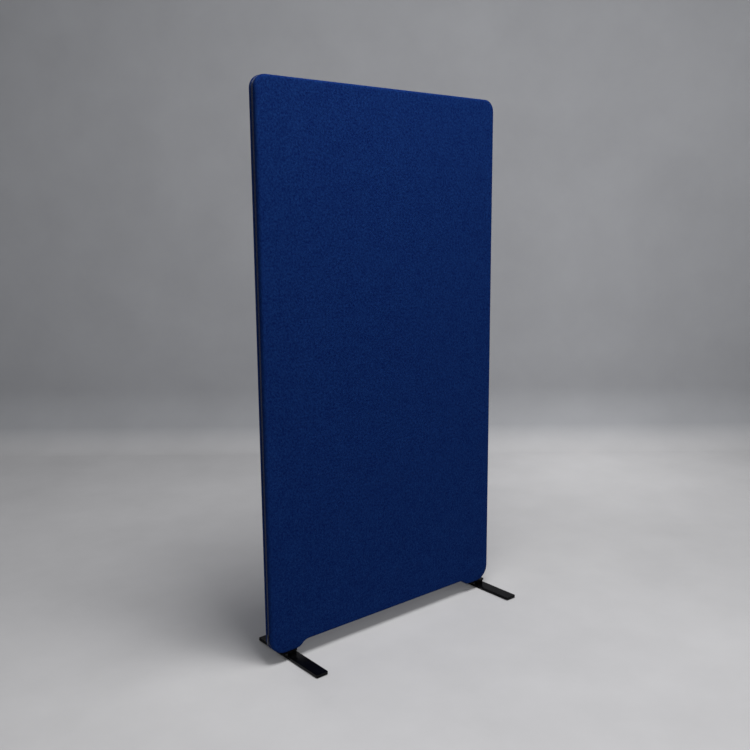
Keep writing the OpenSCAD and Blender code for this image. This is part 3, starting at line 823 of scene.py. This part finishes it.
@dataclass(frozen=True)
class PanelOutline:
    """The panel's sizes, its outline from the front, and the lines that run inside it at an even
    distance.

    The upper corners are tighter than the lower ones. The bottom's raised middle is led into by two
    arcs on each side.
    """

    width: float = 1000 * MM
    height: float = 1800 * MM
    half_thickness: float = 20 * MM
    edge_r: float = 8.5 * MM
    corner_r: float = 55 * MM
    upper_r: float = 40 * MM
    low_end: float = 33 * MM
    recess_h: float = 20 * MM
    recess_r: float = 35 * MM
    recess_side: float = 98 * MM
    columns_middle: int = 44
    rows: int = 106
    corner_steps: int = 12
    recess_steps: int = 8

    @property
    def corner_x(self) -> float:
        """Distance of a lower corner's centre from the middle."""
        return self.width / 2 - self.corner_r

    @property
    def upper_x(self) -> float:
        """Distance of an upper corner's centre from the middle."""
        return self.width / 2 - self.upper_r

    @property
    def low_z(self) -> float:
        """Height of the lower corners' centres."""
        return self.low_end + self.corner_r

    @property
    def high_z(self) -> float:
        """Height of the upper corners' centres."""
        return self.low_end + self.height - self.upper_r

    def bottom(self, inset: float) -> np.ndarray:
        """Points of the bottom line, from the left side to the right side.

        A corner's point is its centre plus the shrunk radius at an angle. The recess's outer arc
        shrinks with the inset and its inner arc grows, because it curves the other way.

        Args:
            inset: Distance inside the outline.

        Returns:
            x and z of each point.
        """
        lean = math.acos(1 - self.recess_h / (2 * self.recess_r))
        foot_x = self.width / 2 - self.recess_side
        top_x = foot_x - 2 * self.recess_r * math.sin(lean)

        def arc(cx: float, cz: float, r: float, start: float, stop: float, steps: int) -> np.ndarray:
            """Points of an arc, from one angle to another."""
            a = np.linspace(start, stop, steps + 1)
            return np.stack([cx + r * np.cos(a), cz + r * np.sin(a)], axis=1)

        corner = arc(-self.corner_x, self.low_z, self.corner_r - inset, -math.pi, -math.pi / 2,
                     self.corner_steps)
        outer = arc(-foot_x, self.low_end + self.recess_r, self.recess_r - inset,
                    -math.pi / 2, lean - math.pi / 2, self.recess_steps)
        inner = arc(-top_x, self.low_end + self.recess_h - self.recess_r, self.recess_r + inset,
                    math.pi / 2 + lean, math.pi / 2, self.recess_steps)[1:]
        left = np.concatenate([corner, outer, inner])
        middle_x = np.linspace(-top_x, top_x, self.columns_middle + 1)[1:-1]
        middle = np.stack([middle_x, np.full_like(middle_x, self.low_end + self.recess_h + inset)], axis=1)
        right = left[::-1] * np.array([-1.0, 1.0])
        return np.concatenate([left, middle, right])

    def top(self, inset: float, x: np.ndarray) -> np.ndarray:
        """Height of the top line above each x: flat, and a quarter circle at each corner."""
        over = np.clip(np.abs(x) - self.upper_x, 0.0, None)
        radius = self.upper_r - inset
        return self.high_z + np.sqrt(np.clip(radius**2 - over**2, 0.0, None))

    def face(self, inset: float) -> np.ndarray:
        """Grid over the whole area inside a line: each column runs straight up from the bottom line to
        the top line, in even shares.

        Args:
            inset: Distance of the area's border inside the outline.

        Returns:
            x and z of each point, by column and row.
        """
        low = self.bottom(inset)
        high = self.top(inset, low[:, 0])
        share = np.linspace(0.0, 1.0, self.rows)
        z = low[:, 1:2] + share[None, :] * (high - low[:, 1])[:, None]
        x = np.broadcast_to(low[:, 0:1], z.shape)
        return np.stack([x, z], axis=2)

    def loop(self, inset: float) -> np.ndarray:
        """Points of a whole closed line, in the order of rim()."""
        low = self.bottom(inset)
        high_z = self.top(inset, low[:, 0])
        side_z = np.linspace(self.low_z, self.high_z, self.rows)[1:-1]
        right = np.stack([np.full_like(side_z, low[-1, 0]), side_z], axis=1)
        left = np.stack([np.full_like(side_z, low[0, 0]), side_z[::-1]], axis=1)
        high = np.stack([low[:, 0], high_z], axis=1)[::-1]
        return np.concatenate([low, right, high, left])

    def face_numbers(self) -> np.ndarray:
        """Point numbers of the face grid, by column and row."""
        return np.arange(len(self.bottom(0.0)) * self.rows).reshape(-1, self.rows)

    def rim(self) -> np.ndarray:
        """Point numbers of the face grid's border, anticlockwise from the lower left."""
        grid = self.face_numbers()
        return np.concatenate([grid[:, 0], grid[-1, 1:-1], grid[::-1, -1], grid[0, -2:0:-1]])

    def face_quads(self) -> np.ndarray:
        """Quads of the face grid, facing the front."""
        return grid_quads(self.face_numbers())


PANEL = PanelOutline()


def lofted(outline: PanelOutline, profile: Sequence[tuple[float, float]], closed: bool,
           side: Side) -> tuple[np.ndarray, np.ndarray]:
    """Surface that starts as a flat face and runs on round its border along a profile.

    The face lies at the profile's first inset and depth. Each later pair gives one more line round it.
    A closed surface ends in a second face.

    Args:
        outline: The panel's outline.
        profile: Inset and distance from the middle plane of each line.
        closed: Whether the last line is filled by a face too.
        side: Front or rear. The rear is the front mirrored, with its faces turned round.

    Returns:
        The points and the quads.
    """
    def at_depth(flat: np.ndarray, depth: float) -> np.ndarray:
        """Points of the front half, from their x and z."""
        return np.stack([flat[:, 0], np.full(len(flat), -depth), flat[:, 1]], axis=1)

    points = [at_depth(outline.face(profile[0][0]).reshape(-1, 2), profile[0][1])]
    quads = [outline.face_quads()]
    row, used = outline.rim(), len(points[0])
    for inset, depth in profile[1:]:
        line = outline.loop(inset)
        points.append(at_depth(line, depth))
        ring = np.arange(len(line)) + used
        quads.append(band(ring, row))
        row, used = ring, used + len(line)
    if closed:
        points.append(at_depth(outline.face(profile[-1][0]).reshape(-1, 2), profile[-1][1]))
        quads.append(outline.face_quads()[:, ::-1] + used)
        quads.append(band(outline.rim() + used, row))
    points, quads = np.concatenate(points), np.concatenate(quads)
    if side is Side.REAR:
        points, quads = points * np.array([1.0, -1.0, 1.0]), quads[:, ::-1]
    return points, quads


@dataclass
class FeltCovers:
    """The front and the rear felt cover, each drawn over a rounded edge to a turned-in hem.

    Each row of waves has its rates along x and z, its start, its weight, and the share of the rear
    cover's own phase that it takes.
    """

    outline: PanelOutline = PANEL
    cloth: float = 1.0 * MM
    hem_y: float = 5.2 * MM
    hem_w: float = 5.8 * MM
    tension: float = 0.3 * MM
    fade_across: float = 7.2
    fade_up: float = 12.8
    waves: tuple[tuple[float, float, float, float, float], ...] = (
        (7.1, 2.3, 0.0, 1.0, 1.0), (-4.2, 5.7, 1.1, 1.0, 1.0),
        (13.0, -3.1, 0.4, 0.6, 0.0), (2.0, 9.5, 0.0, 0.5, 1.0))
    rear_phase: float = 1.3
    pucker: float = 0.12 * MM
    puckers: float = 46.0

    def profile(self) -> list[tuple[float, float]]:
        """Inset and depth of the cloth's middle surface, from the face round to the hem's raw edge.

        A quarter circle leads from the face to the narrow side, and a half circle as tight as the
        cloth allows turns the hem in.
        """
        edge_lines, wall_lines, fold_lines, hem_lines = 11, 5, 7, 4
        o = self.outline
        half = self.cloth / 2
        radius = o.edge_r - half
        centre = o.half_thickness - o.edge_r
        turn = [(o.edge_r - radius * math.sin(a), centre + radius * math.cos(a))
                for a in np.linspace(0, math.pi / 2, edge_lines)]
        fold_y = self.hem_y + self.cloth
        wall = [(half, y) for y in np.linspace(centre, fold_y, wall_lines)[1:-1]]
        fold = [(self.cloth - half * math.cos(a), fold_y - half * math.sin(a))
                for a in np.linspace(0, math.pi, fold_lines)]
        raw_edge = self.hem_y + self.hem_w
        back = [(self.cloth + half, y) for y in np.linspace(fold_y, raw_edge, hem_lines)[1:]]
        return turn + wall + fold + back

    def sink(self, x: np.ndarray, z: np.ndarray, side: Side) -> np.ndarray:
        """How far a face of stretched cloth sinks: a sum of slow waves that fades towards the border.

        Args:
            x: Place across.
            z: Height.
            side: Front or rear.

        Returns:
            The depth at each point.
        """
        o = self.outline
        phase = 0.0 if side is Side.FRONT else self.rear_phase
        across = np.clip(1 - np.abs(x) / (o.width / 2), 0, 1)
        up = np.clip(1 - np.abs(z - (o.low_end + o.height / 2)) / (o.height / 2), 0, 1)
        fade = np.clip(np.minimum(self.fade_across * across, self.fade_up * up), 0, 1)
        swell = sum(weight * np.sin(along_x * x + along_z * z + start + own * phase)
                    for along_x, along_z, start, weight, own in self.waves)
        highest = sum(wave[3] for wave in self.waves)
        return self.tension * fade * (0.5 + swell / (2 * highest))

    def drawn(self, points: np.ndarray, side: Side) -> np.ndarray:
        """Lets stretched cloth give a little.

        The face sinks slightly. The narrow side gets faint radial puckers round the corners, where
        the cloth is eased in.

        Args:
            points: Points of the cover.
            side: Front or rear.

        Returns:
            The moved points.
        """
        x, y, z = points.T
        o = self.outline
        tolerance = 0.1 * MM
        on_face = np.abs(np.abs(y) - (o.half_thickness - self.cloth / 2)) < tolerance
        upper = z > o.height / 2
        centre_x = np.where(upper, o.upper_x, o.corner_x)
        centre_z = np.where(upper, o.high_z, o.low_z)
        over_x = np.abs(x) - centre_x
        over_z = np.where(upper, z - centre_z, centre_z - z)
        angle = np.arctan2(np.clip(over_z, 0, None), np.clip(over_x, 1e-6, None))
        corner = (over_x > 0) * (over_z > 0) * np.sin(np.clip(2 * angle, 0, math.pi))
        narrow = np.clip((o.half_thickness - np.abs(y)) / o.edge_r, 0, 1)
        radius = np.where(upper, o.upper_r, o.corner_r)
        wave = 1 + self.pucker / radius * corner * narrow * (np.sin(self.puckers * angle) - 1)
        moved_x = np.where(corner > 0, np.sign(x) * (centre_x + over_x * wave), x)
        moved_z = np.where(corner > 0, centre_z + (z - centre_z) * wave, z)
        return np.stack([moved_x, y - side.value * self.sink(x, z, side) * on_face, moved_z], axis=1)

    def build(self) -> None:
        """Makes both covers."""
        for side in Side:
            points, quads = lofted(self.outline, self.profile(), False, side)
            cover = new_piece(f"{side.word}_felt_cover", self.drawn(points, side), quads)
            thicken(cover, self.cloth)
            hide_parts(f"{side.word}_cover")
            settle(cover, NAVY_FELT)


@dataclass
class Padding:
    """Wadding between each face of the frame and its felt cover."""

    outline: PanelOutline = PANEL
    pad_r: float = 6.9 * MM
    frame_half: float = 13 * MM
    edge_lines: int = 8

    def profile(self) -> list[tuple[float, float]]:
        """Inset and depth round the pad's edge, a part circle inside the cover's."""
        edge_r = self.outline.edge_r
        centre = self.outline.half_thickness - edge_r
        last = math.acos((self.frame_half - centre) / self.pad_r)
        return [(edge_r - self.pad_r * math.sin(a), centre + self.pad_r * math.cos(a))
                for a in np.linspace(0, last, self.edge_lines)]

    def build(self) -> None:
        """Makes both pads."""
        for side in Side:
            points, quads = lofted(self.outline, self.profile(), True, side)
            pad = new_piece(f"{side.word}_wadding", points, quads)
            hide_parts(f"{side.word}_pad")
            settle(pad, WADDING)


@dataclass
class Frame:
    """The wooden frame, its dowels and the absorber slabs that fill it, all as in CAD."""

    uprights: tuple[str, ...] = ("left_stile", "right_stile", "upper_left_corner", "upper_right_corner",
                                 "lower_left_corner", "lower_right_corner")
    rails: tuple[str, ...] = ("top_rail", "middle_rail", "bottom_rail")
    slabs: tuple[str, ...] = ("upper_core", "lower_core")

    def build(self) -> None:
        """Dresses the nodes."""
        for word in self.uprights:
            dress_node(f"frame_{word}", STILE_WOOD)
        for word in self.rails:
            dress_node(f"frame_{word}", RAIL_WOOD)
        for node in self.slabs:
            dress_node(node, ABSORBER)
        dress_node("frame_dowels", DOWEL_WOOD)


# Zip


@dataclass(frozen=True)
class EdgePath:
    """The zip's way round the panel's narrow edge, from the lower right corner over the top to the
    lower left corner.

    A point at a depth is a centre plus the shrunk radius along the outward direction. The centre runs
    from corner to corner on the straights and stays put in the corners, while the direction turns in
    the corners only. So all three are linear in the length between a few marks.
    """

    outline: PanelOutline
    lower_turn: float = math.pi / 4
    depth: float = 1.3 * MM

    def marks(self) -> tuple[np.ndarray, np.ndarray, np.ndarray, np.ndarray, np.ndarray]:
        """Length, centre x, centre z, radius and direction at each mark."""
        o = self.outline
        turns = np.array([-self.lower_turn, 0, 0, math.pi / 2, math.pi / 2, math.pi, math.pi,
                          math.pi + self.lower_turn])
        lower = (o.corner_x, o.low_z, o.corner_r)
        upper = (o.upper_x, o.high_z, o.upper_r)
        right = np.array([lower, lower, upper, upper])
        x, z, radius = np.concatenate([right, right[::-1] * np.array([-1, 1, 1])]).T
        straight = np.maximum(np.abs(np.diff(x)), np.abs(np.diff(z)))
        steps = straight + np.diff(turns) * (radius[1:] - self.depth)
        return np.concatenate([[0.0], np.cumsum(steps)]), x, z, radius, turns

    @property
    def length(self) -> float:
        """Whole length of the path."""
        return float(self.marks()[0][-1])

    def at(self, s: np.ndarray, depth: float | np.ndarray, y: np.ndarray) -> np.ndarray:
        """Points of the path.

        Args:
            s: Length along the path.
            depth: Depth below the outside of the felt.
            y: Distance from the middle plane, with its sign.

        Returns:
            The points.
        """
        length, x, z, radii, turns = self.marks()
        angle = np.interp(s, length, turns)
        radius = np.interp(s, length, radii) - depth
        return np.stack([np.interp(s, length, x) + radius * np.cos(angle), y + 0 * s,
                         np.interp(s, length, z) + radius * np.sin(angle)], axis=-1)


@dataclass
class Zip:
    """Tapes, coils, sewing, end stops, slider and pull.

    Each y is a distance from the middle plane, and each depth one below the outside of the felt.
    """

    outline: PanelOutline = PANEL
    tape_turn: float = math.radians(67.5)
    tape_depth: float = 2.5 * MM
    tape_from: float = 0.6 * MM
    tape_to: float = 10.6 * MM
    tape_thick: float = 0.6 * MM
    tape_rows: int = 900
    tape_columns: int = 5
    coil_pitch: float = 1.8 * MM
    coil_middle: float = 1.85 * MM
    coil_half_w: float = 0.9 * MM
    coil_depth: float = 1.3 * MM
    coil_half_t: float = 0.55 * MM
    strand_r: float = 0.34 * MM
    stitch: float = 2.6 * MM
    stitch_share: float = 0.82
    thread_r: float = 0.16 * MM
    coil_seam_y: float = 3.9 * MM
    hem_seam_y: float = 7.6 * MM
    hem_seam_depth: float = 0.1 * MM
    metal_edge: float = 0.25 * MM

    def tape(self, path: EdgePath, side: Side) -> bpy.types.Object:
        """A flat strip along the path: a grid of length by width at one depth.

        Args:
            path: The path.
            side: Front or rear.

        Returns:
            The piece.
        """
        s = np.linspace(0.0, path.length, self.tape_rows)
        w = np.linspace(self.tape_from, self.tape_to, self.tape_columns)
        grid_s, grid_w = np.meshgrid(s, w, indexing="ij")
        points = path.at(grid_s, self.tape_depth, side.value * grid_w).reshape(-1, 3)
        quads = grid_quads(np.arange(grid_s.size).reshape(grid_s.shape))
        quads = quads if side is Side.FRONT else quads[:, ::-1]
        strip = np.stack([grid_s, grid_w], axis=-1).reshape(-1, 2)
        return new_piece(f"{side.word}_woven_tape", points, quads, strip)

    def coil(self, path: EdgePath, side: Side) -> bpy.types.Object:
        """A flattened spiral that runs along the path. The rear one is half a pitch on.

        The strand's centre goes round an ellipse across the path while it moves on by one pitch a
        turn. Its skin is four points round that centre, along the ellipse's radius and the path.

        Args:
            path: The path.
            side: Front or rear.

        Returns:
            The piece.
        """
        per_turn, sides = 8, 4
        turns = int(path.length / self.coil_pitch) - 2
        phase = 2 * math.pi * np.arange(turns * per_turn + 1) / per_turn
        s = self.coil_pitch * (1 + phase / (2 * math.pi) + (0.5 if side is Side.REAR else 0.0))
        skin = 2 * math.pi * (np.arange(sides) + 0.5) / sides
        out = self.strand_r * np.cos(skin)
        on = self.strand_r * np.sin(skin)
        w = self.coil_middle + (self.coil_half_w + out) * np.cos(phase)[:, None]
        depth = self.coil_depth + (self.coil_half_t + out) * np.sin(phase)[:, None]
        points = path.at(s[:, None] + on, depth, side.value * w).reshape(-1, 3)
        number = np.arange(len(phase) * sides).reshape(-1, sides)
        rows = [band(number[:, k], number[:, (k + 1) % sides], closed=False) for k in range(sides)]
        ends = np.stack([number[0], number[-1][::-1]])
        quads = np.concatenate(rows + [ends])
        quads = quads[:, ::-1] if side is Side.FRONT else quads
        return new_piece(f"{side.word}_spiral_coil", points, quads)

    def stitches(self, name: str, path: EdgePath, side: Side, depth: float,
                 width: float) -> bpy.types.Object:
        """A row of short stitches, each a bowed six-sided strand with pointed ends.

        Args:
            name: Name of the piece.
            path: The path.
            side: Front or rear.
            depth: Depth of the cloth's surface under the thread.
            width: Distance of the row from the middle plane.

        Returns:
            The piece.
        """
        sides, rings, first_at, point = 6, 5, 0.6, 0.06
        count = int(path.length / self.stitch) - 1
        share = np.linspace(0.0, 1.0, rings)
        swell = (np.sin(math.pi * np.clip(share, point, 1 - point)) ** 0.5)[:, None]
        turn = 2 * math.pi * np.arange(sides) / sides
        along = np.arange(count)[:, None, None] + first_at + self.stitch_share * share[None, :, None]
        s = self.stitch * along + 0 * turn
        bow = self.thread_r * (2 * swell - 1)
        lift = self.thread_r * swell * np.sin(turn)
        y = width + self.thread_r * swell * np.cos(turn)
        points = path.at(s, depth - bow - lift, side.value * y).reshape(-1, 3)
        number = np.arange(count * rings * sides).reshape(count, rings, sides)
        on = np.roll(number, -1, axis=2)
        quads = np.stack([number[:, :-1], number[:, 1:], on[:, 1:], on[:, :-1]], axis=-1).reshape(-1, 4)
        ends = [number[:, end][:, corners] for end, corners in (
            (0, [0, 1, 2, 3]), (0, [3, 4, 5, 0]), (-1, [3, 2, 1, 0]), (-1, [0, 5, 4, 3]))]
        quads = np.concatenate([quads, *ends])
        quads = quads[:, ::-1] if side is Side.REAR else quads
        return new_piece(name, points, quads)

    def build(self) -> None:
        """Makes every piece of the zip."""
        tape_path = EdgePath(self.outline, lower_turn=self.tape_turn)
        coil_path = EdgePath(self.outline)
        for side in Side:
            tape = self.tape(tape_path, side)
            thicken(tape, self.tape_thick)
            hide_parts(f"{side.word}_zip_tape")
            settle(tape, ZIP_TAPE)
            tape_path.length
            coil = self.coil(coil_path, side)
            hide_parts(f"{side.word}_zip_coil")
            settle(coil, ZIP_COIL)
            for word, depth, y in (("coil", self.tape_depth - self.tape_thick / 2, self.coil_seam_y),
                                   ("hem", self.hem_seam_depth, self.hem_seam_y)):
                seam = self.stitches(f"{side.word}_{word}_seam", coil_path, side, depth, y)
                settle(seam, SEWING_THREAD)
        for word, body in (("end_stops", Body.SCREEN), ("slider", Body.SLIDER), ("pull", Body.PULL)):
            settle(softened(f"zip_{word}", f"plated_{word}", self.metal_edge), GUNMETAL, body)


@dataclass
class Gusset:
    """Strip of felt that closes the cover under the panel, between the ends of the zip."""

    outline: PanelOutline = PANEL
    depth: float = 0.8 * MM
    half_w: float = 4.9 * MM
    cut_w: float = 10 * MM
    cloth: float = 1.0 * MM
    end_turn: float = math.radians(56.25)
    columns: int = 5

    def build(self) -> None:
        """Makes the strip: the panel's bottom line, swept across the middle plane."""
        o = self.outline
        line = o.bottom(self.depth)
        reach = o.corner_x + (o.corner_r - self.depth) * math.cos(self.end_turn)
        line = line[np.abs(line[:, 0]) <= reach]
        y = np.linspace(-self.half_w, self.half_w, self.columns)
        x, z = np.repeat(line, len(y), axis=0).T
        points = np.stack([x, np.tile(y, len(line)), z], axis=1)
        number = np.arange(len(points)).reshape(len(line), len(y))
        gusset = new_piece("felt_gusset", points, grid_quads(number.T))
        thicken(gusset, self.cloth)
        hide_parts("bottom_gusset")
        settle(gusset, NAVY_FELT)


# Feet


@dataclass
class SteelFoot:
    """One foot: bar, bracket, bolt, screws, inserts and glides.

    Each row of parts names a node and its piece, without the foot's own word, and gives the width of
    the piece's soft edge and its finish.
    """

    foot: Foot
    parts: tuple[tuple[str, str, float, Finish], ...] = (
        ("foot_bar", "coated_bar", 0.0, BLACK_STEEL),
        ("bracket", "coated_bracket", 0.0, BLACK_STEEL),
        ("foot_bolt", "plated_bolt", 0.2 * MM, ZINC),
        ("bracket_screws", "plated_screws", 0.15 * MM, ZINC),
        ("inserts", "brass_inserts", 0.2 * MM, BRASS),
        ("glides", "rubber_glides", 0.2 * MM, GLIDE_RUBBER))

    def build(self) -> None:
        """Softens and dresses the foot's pieces."""
        word = self.foot.value
        for node, name, edge, finish in self.parts:
            settle(softened(f"{word}_{node}", f"{word}_{name}", edge), finish)


# Studio


@dataclass
class PhotoCamera:
    """The camera at the photograph's place, solved from the panel's corners."""

    place: Triple = (-1.9063, -2.248, 1.4086)
    heading: float = math.radians(39.603)
    pitch: float = math.radians(9.896)
    roll: float = math.radians(-0.457)
    lens: float = 42.081
    sensor: float = 36.0
    sees_to: float = 60.0

    def axes(self) -> tuple[Vector, Vector, Vector]:
        """Right, up and forward directions of the picture.

        Forward is the heading, from +Y towards +X, tipped down by the pitch. Right is level. Roll
        turns right and up about forward.
        """
        h, p, r = self.heading, self.pitch, self.roll
        forward = Vector((math.sin(h) * math.cos(p), math.cos(h) * math.cos(p), -math.sin(p)))
        level = Vector((math.cos(h), -math.sin(h), 0.0))
        upright = level.cross(forward)
        right = math.cos(r) * level + math.sin(r) * upright
        up = -math.sin(r) * level + math.cos(r) * upright
        return right, up, forward

    def build(self) -> None:
        """Makes the scene's camera."""
        right, up, forward = self.axes()
        data = bpy.data.cameras.new("photo_camera")
        data.lens = self.lens
        data.sensor_width = self.sensor
        data.sensor_fit = "HORIZONTAL"
        data.clip_end = self.sees_to
        camera = new_object("photo_camera", data)
        turn = Matrix((right, up, -forward)).transposed().to_4x4()
        camera.matrix_world = Matrix.Translation(Vector(self.place)) @ turn
        bpy.context.scene.camera = camera


@dataclass(frozen=True)
class Softbox:
    """A lamp: its place, what it points at, its width and height in metres, its power in watts and
    the angle that its light fans out over, in degrees."""

    name: str
    place: Triple
    target: Triple
    size: tuple[float, float]
    power: float
    spread: float = 180.0

    def hang(self) -> None:
        """Adds the lamp to the scene."""
        data = bpy.data.lights.new(self.name, "AREA")
        data.shape = "RECTANGLE"
        data.size, data.size_y = self.size
        data.energy = self.power
        data.spread = math.radians(self.spread)
        lamp = new_object(self.name, data)
        lamp.location = self.place
        lamp.rotation_euler = (Vector(self.target) - Vector(self.place)).to_track_quat("-Z", "Y").to_euler()


LAMPS = (
    Softbox("key_softbox", (-0.1, -1.05, 3.9), (0.0, -0.2, 0.0), (1.5, 1.5), 136.0),
    Softbox("front_softbox", (1.6, -4.2, 2.9), (0.0, 0.0, 1.8), (2.0, 2.0), 12.5, 100.0),
    Softbox("floor_softbox", (2.2, 0.75, 2.4), (2.25, 0.8, 0.0), (0.8, 0.8), 2.5, 60.0),
    Softbox("wall_softbox", (2.4, -0.9, 2.6), (3.75, 0.85, 1.4), (1.5, 1.5), 4.6, 150.0),
    Softbox("rear_softbox", (-0.1, 2.9, 1.35), (0.0, 0.0, 1.05), (1.2, 0.9), 5.0, 42.0),
)


@dataclass
class Studio:
    """Pale floor, a plain grey wall behind and soft lamps, laid out from the camera."""

    camera: PhotoCamera
    wall_distance: float = 5.6
    wall_height: float = 8.0
    sweep_r: float = 0.35
    sweep_lines: int = 16
    reach: float = 14.0
    floor_colour: Colour = (0.47, 0.465, 0.47)
    wall_colour: Colour = (0.305, 0.308, 0.322)
    blend_height: float = 0.12
    sky_colour: Colour = (0.95, 0.97, 1.0)
    sky_light: float = 0.37
    sky_seen: float = 0.4

    def paint(self, name: str, one_sided: bool) -> bpy.types.Material:
        """Matt, slightly patchy paint that changes from the floor's colour to the wall's.

        Args:
            name: Name of the material.
            one_sided: Whether its back can't be seen, so that a camera behind it looks through it.

        Returns:
            The material.
        """
        material = bpy.data.materials.new(name)
        s = Shading.of(material)
        place = s.add("NewGeometry").outputs
        height = s.add("SeparateXYZ", {0: place["Position"]}).outputs["Z"]
        patches = s.span(s.noise(place["Position"], 3.0, 5.0, 0.6), *NOISE_SPAN, 0.96, 1.04)
        grey = s.add("CombineColor", {0: patches, 1: patches, 2: patches}).outputs[0]
        colour = s.mix(s.span(height, 0.0, self.blend_height), self.floor_colour, self.wall_colour)
        shader = s.add("BsdfPrincipled", {
            "Base Color": s.mix(1.0, colour, grey, "MULTIPLY"), "Roughness": 0.7,
            "Specular IOR Level": 0.25}).outputs["BSDF"]
        if one_sided:
            clear = s.add("BsdfTransparent").outputs[0]
            shader = s.add("MixShader", {0: place["Backfacing"], 1: shader, 2: clear}).outputs[0]
        s.add("OutputMaterial", {"Surface": shader})
        return material

    def build_ground(self) -> None:
        """Makes the floor and the swept wall.

        The wall is a profile carried along a level line across the camera's heading: a quarter circle
        up from the floor, then straight up.
        """
        heading, start = self.camera.heading, np.array(self.camera.place[:2])
        ahead = np.array([math.sin(heading), math.cos(heading)])
        aside = np.array([math.cos(heading), -math.sin(heading)])
        turn = np.linspace(0, math.pi / 2, self.sweep_lines)
        foot = self.wall_distance - self.sweep_r
        run = np.append(foot + self.sweep_r * np.sin(turn), self.wall_distance)
        rise = np.append(self.sweep_r * (1 - np.cos(turn)), self.wall_height)
        across = np.array([-self.reach, self.reach])
        flat = start + run[:, None, None] * ahead + across[None, :, None] * aside
        height = np.broadcast_to(rise[:, None, None], (*flat.shape[:2], 1))
        points = np.concatenate([flat, height], axis=2).reshape(-1, 3)
        number = np.arange(len(points)).reshape(-1, 2)
        wall = new_piece("studio_wall", points, band(number[:, 0], number[:, 1], closed=False)[:, ::-1])
        wall.data.materials.append(self.paint("studio wall paint", True))
        corners = [start + foot * ahead + self.reach * (x * aside - y * ahead)
                   for x, y in ((-1, 0), (1, 0), (1, 2), (-1, 2))]
        points = np.array([[*corner, 0.0] for corner in corners])
        floor = new_piece("studio_floor", points, np.array([[3, 2, 1, 0]]))
        floor.data.materials.append(self.paint("studio floor paint", False))

    def build_sky(self) -> None:
        """Sets the dim grey world that fills the shadows. It is a little lighter where it is seen
        than where it lights."""
        world = bpy.data.worlds.new("studio_world")
        bpy.context.scene.world = world
        s = Shading.of(world)
        rays = s.add("LightPath").outputs
        seen = s.math("MAXIMUM", rays["Is Camera Ray"],
                      s.math("MAXIMUM", rays["Is Glossy Ray"], rays["Is Transmission Ray"]))
        strength = s.span(seen, 0.0, 1.0, self.sky_light, self.sky_seen)
        sky = s.add("Background", {"Color": self.sky_colour, "Strength": strength})
        s.add("OutputWorld", {"Surface": sky.outputs[0]})

    def build(self) -> None:
        """Makes the whole studio."""
        self.build_ground()
        for lamp in LAMPS:
            lamp.hang()
        self.build_sky()
        bpy.context.scene.view_settings.view_transform = "Standard"


def main() -> None:
    logging.basicConfig(level=logging.INFO, format="%(name)s: %(message)s")
    camera = PhotoCamera()
    camera.build()
    Frame().build()
    Padding().build()
    FeltCovers().build()
    Gusset().build()
    Zip().build()
    for foot in Foot:
        SteelFoot(foot).build()
    Studio(camera).build()


if __name__ == "__main__":
    main()
